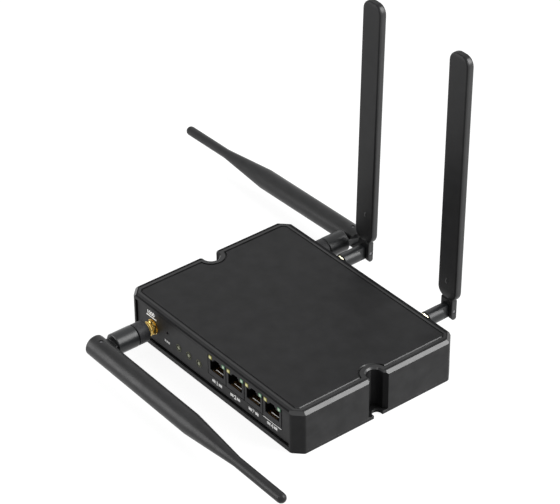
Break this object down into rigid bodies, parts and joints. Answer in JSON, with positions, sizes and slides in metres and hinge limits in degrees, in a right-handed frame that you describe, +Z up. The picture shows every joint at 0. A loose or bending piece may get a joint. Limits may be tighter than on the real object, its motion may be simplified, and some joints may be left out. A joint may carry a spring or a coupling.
{
  "type": "wireless router",
  "caption": "Flat wireless router: cornered housing, network sockets on the front panel, hinged round whip aerials and tall blade aerials on threaded sockets.",
  "frame": {"origin": "centre of the housing's flat underside", "axes": "+X runs to the right along the front panel as one faces it, +Y runs from the front panel to the rear panel, +Z points up out of the top face"},
  "size_m": [0.3188, 0.1917, 0.177],
  "materials": {
    "shell": "fine satin moulded plastic",
    "panel": "fine matt moulded plastic",
    "screw": "black oxide steel",
    "board": "green solder mask",
    "shield": "tin plated sheet",
    "contacts": "gold plated spring wire",
    "yellow_lens": "translucent",
    "green_lens": "translucent",
    "port_plastic": "matt moulded plastic",
    "status_lens": "translucent light pipe",
    "black_plastic": "matt moulded plastic",
    "pale_plastic": "moulded plastic",
    "gold_plate": "turned, gold plated",
    "nickel_plate": "turned, nickel plated",
    "collar": "matt overmould",
    "barrel": "glossy moulded plastic",
    "pin": "plain steel",
    "whip_jacket": "satin elastomer jacket",
    "blade_plastic": "satin moulded plastic"
  },
  "bodies": {
    "housing": {"bottom_cover": "shell", "top_cover": "shell", "front_panel": "panel", "rear_panel": "panel", "cover_screw_1": "screw", "cover_screw_2": "screw", "cover_screw_3": "screw", "cover_screw_4": "screw", "main_board": "board", "cpu_shield": "shield", "modem_module": "shield", "port_1": "port_plastic", "port_1_contacts": "contacts", "port_1_led_left": "yellow_lens", "port_1_led_right": "green_lens", "port_2": "port_plastic", "port_2_contacts": "contacts", "port_2_led_left": "yellow_lens", "port_2_led_right": "green_lens", "port_3": "port_plastic", "port_3_contacts": "contacts", "port_3_led_left": "yellow_lens", "port_3_led_right": "green_lens", "port_4": "port_plastic", "port_4_contacts": "contacts", "port_4_led_left": "yellow_lens", "port_4_led_right": "green_lens", "status_light_1": "status_lens", "status_light_2": "status_lens", "status_light_3": "status_lens", "reset_switch": "black_plastic", "power_jack": "black_plastic", "sim_socket": "shield", "aerial_socket_front": "gold_plate", "socket_nut_front": "gold_plate", "aerial_socket_rear_1": "gold_plate", "socket_nut_rear_1": "gold_plate", "aerial_socket_rear_2": "gold_plate", "socket_nut_rear_2": "gold_plate", "aerial_socket_rear_3": "gold_plate", "socket_nut_rear_3": "gold_plate", "front_whip_collar": "collar", "rear_whip_collar": "collar", "blade_1_nut": "nickel_plate", "blade_2_nut": "nickel_plate"},
    "reset_button": {"reset_plunger": "pale_plastic"},
    "front_whip_base": {"front_whip_barrel": "barrel", "front_whip_pin": "pin"},
    "front_whip_arm": {"front_whip": "whip_jacket"},
    "rear_whip_base": {"rear_whip_barrel": "barrel", "rear_whip_pin": "pin"},
    "rear_whip_arm": {"rear_whip": "whip_jacket"},
    "blade_1_base": {"blade_1_barrel": "barrel", "blade_1_pin": "pin"},
    "blade_1_arm": {"blade_1": "blade_plastic"},
    "blade_2_base": {"blade_2_barrel": "barrel", "blade_2_pin": "pin"},
    "blade_2_arm": {"blade_2": "blade_plastic"}
  },
  "joints": [
    {"name": "front_whip_swivel", "type": "hinge", "parent": "housing", "child": "front_whip_base", "pos_m": [-0.0531, -0.09, 0.013], "axis": [0, 1, 0], "range_deg": [-180, 180]},
    {"name": "front_whip_elbow", "type": "hinge", "parent": "front_whip_base", "child": "front_whip_arm", "pos_m": [-0.0531, -0.09, 0.013], "axis": [-0.0201, 0, -0.9998], "range_deg": [0, 90]},
    {"name": "rear_whip_swivel", "type": "hinge", "parent": "housing", "child": "rear_whip_base", "pos_m": [-0.0519, 0.0891, 0.013], "axis": [0, 1, 0], "range_deg": [-90, 90]},
    {"name": "rear_whip_elbow", "type": "hinge", "parent": "rear_whip_base", "child": "rear_whip_arm", "pos_m": [-0.0519, 0.0891, 0.013], "axis": [0.0201, 0, -0.9998], "range_deg": [0, 90]},
    {"name": "blade_1_swivel", "type": "hinge", "parent": "housing", "child": "blade_1_base", "pos_m": [-0.0356, 0.0848, 0.013], "axis": [0, 1, 0], "range_deg": [-25, 20]},
    {"name": "blade_1_elbow", "type": "hinge", "parent": "blade_1_base", "child": "blade_1_arm", "pos_m": [-0.0356, 0.0848, 0.013], "axis": [-0.9998, 0, 0.0192], "range_deg": [0, 89.4]},
    {"name": "blade_2_swivel", "type": "hinge", "parent": "housing", "child": "blade_2_base", "pos_m": [0.0377, 0.0835, 0.013], "axis": [0, 1, 0], "range_deg": [-20, 90]},
    {"name": "blade_2_elbow", "type": "hinge", "parent": "blade_2_base", "child": "blade_2_arm", "pos_m": [0.0377, 0.0835, 0.013], "axis": [-1, 0, 0.0087], "range_deg": [0, 89.4]},
    {"name": "reset_press", "type": "slide", "parent": "housing", "child": "reset_button", "axis": [0, 1, 0], "range_m": [0, 0.0003], "stiffness_N_per_m": 2000}
  ]
}
